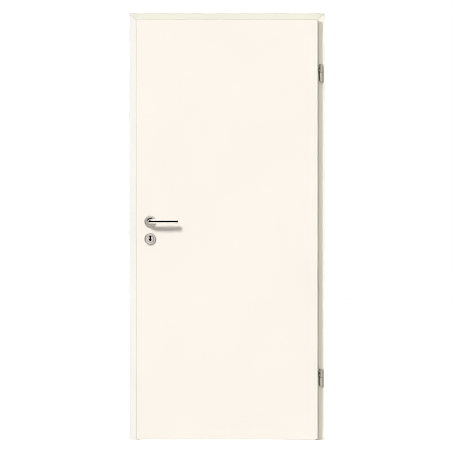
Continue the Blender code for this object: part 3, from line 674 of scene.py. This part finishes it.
fittings = [
    # Painted shade: dark plates in the gaps beside the hinges.
    packer("hinge_upper_packer", 1.741),
    packer("hinge_lower_packer", 0.297),
    oval_screw("faceplate_screw_upper", (FACEPLATE_X, LOCK_Y, 1.1010), (-1, 0, 0), "leaf"),
    oval_screw("faceplate_screw_lower", (FACEPLATE_X, LOCK_Y, 0.8900), (-1, 0, 0), "leaf"),
    oval_screw("strike_screw_upper", (STRIKE_X, LOCK_Y, 1.0680), (1, 0, 0), "frame"),
    oval_screw("strike_screw_middle", (STRIKE_X, LOCK_Y, 0.9985), (1, 0, 0), "frame"),
    oval_screw("strike_screw_lower", (STRIKE_X, LOCK_Y, 0.9280), (1, 0, 0), "frame"),
    grub_screw("lever_front_grub_screw", (HANDLE[0], -0.1275, HANDLE[1] - 0.0099), "handle"),
    grub_screw("lever_rear_grub_screw", (HANDLE[0], -0.0475, HANDLE[1] - 0.0099), "handle"),
]


# ---------------------------------------------------------------- floor
def floor_material():
    g = Graph("floor_pale")
    soft = g.noise(3.0, 3.0, 0.5)
    g.set(Base_Color=g.ramp(soft, (0.3, (0.80, 0.80, 0.795)), (0.7, (0.83, 0.83, 0.825))), Roughness=g.span(soft, 0.3, 0.7, 0.6, 0.7))
    g.shader.inputs["Emission Color"].default_value = (1.0, 1.0, 0.995, 1.0)
    g.shader.inputs["Emission Strength"].default_value = 0.62
    g.shader.inputs["Specular IOR Level"].default_value = 0.2
    return g.mat


bm = bmesh.new()
bmesh.ops.create_grid(bm, x_segments=8, y_segments=8, size=12.0)
floor = new_object("floor", bm, floor_material())
floor.location = (-0.4275, 0.0, -0.0004)
for v in ("visible_diffuse", "visible_glossy"):
    setattr(floor, v, False)

# ---------------------------------------------------------------- light
scene = bpy.context.scene
scene.view_settings.view_transform = "Standard"
scene.view_settings.look = "None"
scene.view_settings.exposure = 0.0
scene.view_settings.gamma = 1.0

world = bpy.data.worlds.new("studio")
scene.world = world
world.use_nodes = True
wt = world.node_tree
wt.nodes.clear()


def wnode(kind, **values):
    made = wt.nodes.new(kind)
    for k, v in values.items():
        setattr(made, k, v)
    return made


# Soft white all round; what the metal mirrors has a dark band at the horizon, as an unlit studio room gives.
path = wnode("ShaderNodeLightPath")
place = wnode("ShaderNodeTexCoord")
split = wnode("ShaderNodeSeparateXYZ")
wt.links.new(place.outputs["Generated"], split.inputs[0])
rise = wnode("ShaderNodeValToRGB")
height = wnode("ShaderNodeMapRange")
wt.links.new(split.outputs[2], height.inputs["Value"])
height.inputs["From Min"].default_value = -1.0
height.inputs["From Max"].default_value = 1.0
wt.links.new(height.outputs[0], rise.inputs[0])
LOW, BAND, HIGH = (0.80, 0.78, 0.75), (0.002, 0.002, 0.002), (1.20, 1.17, 1.12)
stops = [(0.0, LOW), (0.238, LOW), (0.258, BAND), (0.858, BAND), (0.882, HIGH), (1.0, HIGH)]
while len(rise.color_ramp.elements) < len(stops):
    rise.color_ramp.elements.new(0.5)
for e, (at, colour) in zip(rise.color_ramp.elements, stops):
    e.position = at
    e.color = (*colour, 1.0)
mirrored = wnode("ShaderNodeBackground")
wt.links.new(rise.outputs[0], mirrored.inputs[0])
ambient = wnode("ShaderNodeBackground")
ambient.inputs[0].default_value = (1.0, 0.985, 0.965, 1.0)
ambient.inputs[1].default_value = 0.42
seen = wnode("ShaderNodeBackground")
seen.inputs[0].default_value = (1.0, 1.0, 1.0, 1.0)
seen.inputs[1].default_value = 1.0
first, second = wnode("ShaderNodeMixShader"), wnode("ShaderNodeMixShader")
out = wnode("ShaderNodeOutputWorld")
wt.links.new(path.outputs["Is Glossy Ray"], first.inputs[0])
wt.links.new(ambient.outputs[0], first.inputs[1])
wt.links.new(mirrored.outputs[0], first.inputs[2])
wt.links.new(path.outputs["Is Camera Ray"], second.inputs[0])
wt.links.new(first.outputs[0], second.inputs[1])
wt.links.new(seen.outputs[0], second.inputs[2])
wt.links.new(second.outputs[0], out.inputs[0])


def collection_of(name, objects):
    made = bpy.data.collections.new(name)
    for o in objects:
        made.objects.link(o)
    return made


def sun(name, towards, strength, angle, colour=(1.0, 1.0, 1.0), only=None, mirrored=True):
    """Far lamp seen in the direction towards from the object. Polished metal doesn't mirror a lamp made with mirrored off."""
    data = bpy.data.lights.new(name, "SUN")
    data.energy = strength
    data.angle = math.radians(angle)
    data.color = colour
    made = bpy.data.objects.new(name, data)
    scene.collection.objects.link(made)
    made.rotation_mode = "QUATERNION"
    made.rotation_quaternion = Vector(towards).to_track_quat("Z", "Y")
    made.location = Vector((-0.43, -0.1, 1.0)) + Vector(towards).normalized() * 4.0
    made.visible_glossy = mirrored
    if only is not None:
        made.light_linking.receiver_collection = only
    return made


fixed = [o for n, o in NODES.items() if o["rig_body"] == "frame"] + [o for o in fittings if "strike" in o.name or "packer" in o.name]
moving = [o for n, o in NODES.items() if o["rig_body"] != "frame"] + [o for o in fittings if o not in fixed]
roses = [o for n, o in NODES.items() if "_rose_" in n]
hinges = [o for n, o in NODES.items() if n.startswith("hinge_")]
fixed_set, moving_set = collection_of("lit_frame", fixed), collection_of("lit_leaf", [o for o in moving if o not in roses + hinges] + [floor])
plain_set, rose_set = collection_of("lit_plain", [o for o in fixed + moving if o not in roses] + [floor]), collection_of("lit_roses", roses)
strip_set = collection_of("lit_strip", [NODES["casing_front_hinge"]])
hinge_set, casing_set = collection_of("lit_hinges", hinges), collection_of("lit_casings", [o for o in fixed if o not in hinges])

KEY = (-14.5, -50.0, 35.5)
sun("key", KEY, 0.95, 14.0, (1.0, 0.99, 0.97), plain_set, mirrored=False)
sun("key_leaf", KEY, 1.52, 14.0, (1.0, 0.99, 0.97), moving_set, mirrored=False)
sun("side_frame", (-26.0, -19.0, 12.8), 1.96, 2.5, (1.0, 1.0, 0.985), fixed_set)
sun("side_strip", (-26.0, -19.0, 12.8), 0.45, 2.5, (1.0, 1.0, 0.985), strip_set)
sun("right_fill", (1.0, 0.16, 0.12), 1.6, 12.0, (1.0, 0.995, 0.98), casing_set)
sun("hinge_glow", (-0.35, -1.0, 0.05), 1.35, 140.0, (1.0, 0.99, 0.95), hinge_set)
sun("hinge_glow_right", (1.0, -0.3, 0.05), 1.6, 110.0, (1.0, 0.99, 0.95), hinge_set)
sun("rose_glow", (0.36, -1.0, 0.38), 1.45, 85.0, (1.0, 0.985, 0.96), rose_set)
sun("back_fill", (0.55, 0.75, 0.45), 1.6, 25.0, (1.0, 0.99, 0.975), mirrored=False)

# A little sharpening, as in the photo, where fine dark lines have light borders.
scene.use_nodes = True
ct = scene.node_tree
ct.nodes.clear()
layer, held, crisp, result = (ct.nodes.new("CompositorNode" + kind) for kind in ("RLayers", "MixRGB", "Filter", "Composite"))
held.use_clamp = True
held.inputs[0].default_value = 0.0
crisp.filter_type = "SHARPEN"
crisp.inputs["Fac"].default_value = 0.03
ct.links.new(layer.outputs["Image"], held.inputs[1])
ct.links.new(held.outputs[0], crisp.inputs["Image"])
ct.links.new(crisp.outputs["Image"], result.inputs["Image"])

# ---------------------------------------------------------------- camera
scene.cycles.filter_width = 1.05
# With the light tree, lamps that light only some pieces may drop out at random from one render to the next.
scene.cycles.use_light_tree = False
DISTANCE = 6.5
data = bpy.data.cameras.new("camera")
data.sensor_width = 36.0
data.sensor_fit = "AUTO"
data.lens = 36.0 * DISTANCE / (454 * 0.004731)
data.clip_start, data.clip_end = 0.05, 60.0
camera = bpy.data.objects.new("camera", data)
scene.collection.objects.link(camera)
camera.location = (-0.4268, LEAF_FACE - DISTANCE, 1.0101)
camera.rotation_euler = (math.radians(90.0), 0.0, 0.0)
scene.camera = camera
